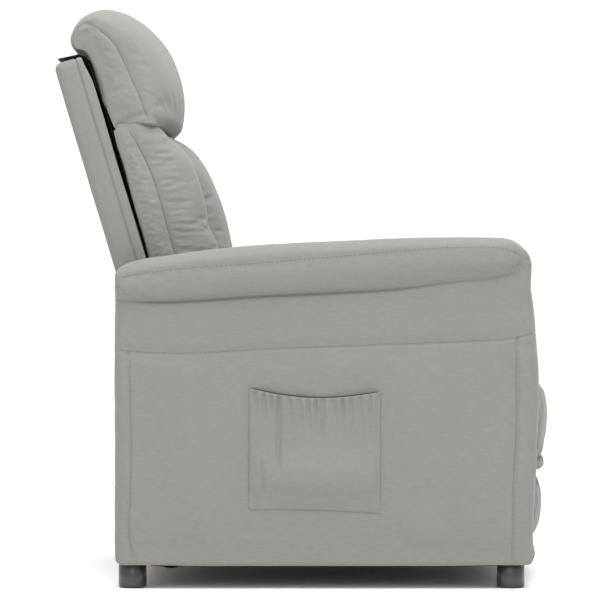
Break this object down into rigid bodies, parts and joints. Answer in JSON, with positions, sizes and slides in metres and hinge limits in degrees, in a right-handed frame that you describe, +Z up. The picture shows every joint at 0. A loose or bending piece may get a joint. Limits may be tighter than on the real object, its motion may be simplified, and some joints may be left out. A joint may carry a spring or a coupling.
{
  "type": "recliner armchair",
  "caption": "Upholstered push-back recliner armchair with padded arms, a seat that glides forward, a hinged back, a fold-out footrest on scissor links and a side pocket.",
  "frame": {"origin": "on the floor, under the middle of the chair's overall box at rest", "axes": "+Z up; the sitter faces -Y; +X is the sitter's left"},
  "size_m": [0.7, 0.8296, 0.9692],
  "materials": {
    "upholstery": "fine plain weave, light warm grey",
    "black_cloth": "matt non-woven",
    "frame_wood": "sawn",
    "plywood": "raw",
    "hardboard": "raw",
    "mechanism_steel": "satin black",
    "spring_steel": "oiled",
    "fastener_zinc": "zinc plated",
    "glide_plastic": "moulded",
    "foot_plastic": "glossy black"
  },
  "bodies": {
    "base": {"foot_front_right": "foot_plastic", "foot_front_left": "foot_plastic", "foot_rear_right": "foot_plastic", "foot_rear_left": "foot_plastic", "foot_studs": "fastener_zinc", "arm_frame_right": "frame_wood", "arm_frame_left": "frame_wood", "arm_inner_panel_right": "plywood", "arm_inner_panel_left": "plywood", "arm_outer_board_right": "hardboard", "arm_outer_board_left": "hardboard", "arm_cover_right": "upholstery", "arm_cover_left": "upholstery", "arm_pad_right": "upholstery", "arm_pad_left": "upholstery", "side_pocket": "upholstery", "front_rail": "frame_wood", "front_rail_cover": "upholstery", "rear_lower_rail": "frame_wood", "rear_upper_rail": "frame_wood", "rear_cover": "upholstery", "dust_cover": "black_cloth", "rail_bolts": "fastener_zinc", "glide_track_right": "mechanism_steel", "glide_track_left": "mechanism_steel", "track_screws": "fastener_zinc"},
    "seat": {"seat_frame": "frame_wood", "seat_springs": "spring_steel", "seat_cushion": "upholstery", "seat_plate_right": "mechanism_steel", "seat_plate_left": "mechanism_steel", "seat_plate_screws": "fastener_zinc", "glide_shoes": "glide_plastic", "lift_pivot_pins": "fastener_zinc", "back_hinge_pins": "fastener_zinc"},
    "back": {"back_frame": "frame_wood", "back_webbing": "black_cloth", "back_cover": "upholstery", "cushion_lining": "black_cloth", "cushion_flap": "black_cloth", "back_cushion": "upholstery", "head_cushion": "upholstery", "back_bracket_right": "mechanism_steel", "back_bracket_left": "mechanism_steel", "back_bracket_bolts": "fastener_zinc"},
    "lift_link": {"lift_links": "mechanism_steel", "torque_tube": "mechanism_steel", "lift_link_rivets": "fastener_zinc"},
    "cross_link": {"cross_links": "mechanism_steel", "cross_link_rivets": "fastener_zinc"},
    "outer_link": {"outer_links": "mechanism_steel", "outer_link_rivets": "fastener_zinc"},
    "brace_link": {"brace_links": "mechanism_steel"},
    "footrest": {"footrest_brackets": "mechanism_steel", "footrest_screws": "fastener_zinc", "footrest_board": "plywood", "footrest_pad": "upholstery"}
  },
  "joints": [
    {"name": "seat_glide", "type": "slide", "parent": "base", "child": "seat", "axis": [0, -0.9976, 0.0698], "range_m": [0, 0.09]},
    {"name": "back_recline", "type": "hinge", "parent": "seat", "child": "back", "pos_m": [0, 0.235, 0.335], "axis": [-1, 0, 0], "range_deg": [0, 35]},
    {"name": "lift_link_turn", "type": "hinge", "parent": "seat", "child": "lift_link", "pos_m": [0, -0.262, 0.29], "axis": [-1, 0, 0], "range_deg": [0, 34]},
    {"name": "cross_link_turn", "type": "hinge", "parent": "lift_link", "child": "cross_link", "pos_m": [0, -0.28953, 0.194], "axis": [1, 0, 0], "range_deg": [0, 68]},
    {"name": "outer_link_turn", "type": "hinge", "parent": "lift_link", "child": "outer_link", "pos_m": [0, -0.31706, 0.098], "axis": [1, 0, 0], "range_deg": [0, 68]},
    {"name": "brace_link_turn", "type": "hinge", "parent": "cross_link", "child": "brace_link", "pos_m": [0, -0.28953, 0.29387], "axis": [-1, 0, 0], "range_deg": [0, 68]},
    {"name": "footrest_turn", "type": "hinge", "parent": "outer_link", "child": "footrest", "pos_m": [0, -0.31706, 0.29774], "axis": [-1, 0, 0], "range_deg": [0, 124]}
  ],
  "couplings": [
    {"joint": "lift_link_turn", "follows": "seat_glide", "rad_per_m": 6.5935},
    {"joint": "cross_link_turn", "follows": "seat_glide", "rad_per_m": 13.187},
    {"joint": "outer_link_turn", "follows": "seat_glide", "rad_per_m": 13.187},
    {"joint": "brace_link_turn", "follows": "seat_glide", "rad_per_m": 13.187},
    {"joint": "footrest_turn", "follows": "seat_glide", "rad_per_m": 24.047}
  ]
}
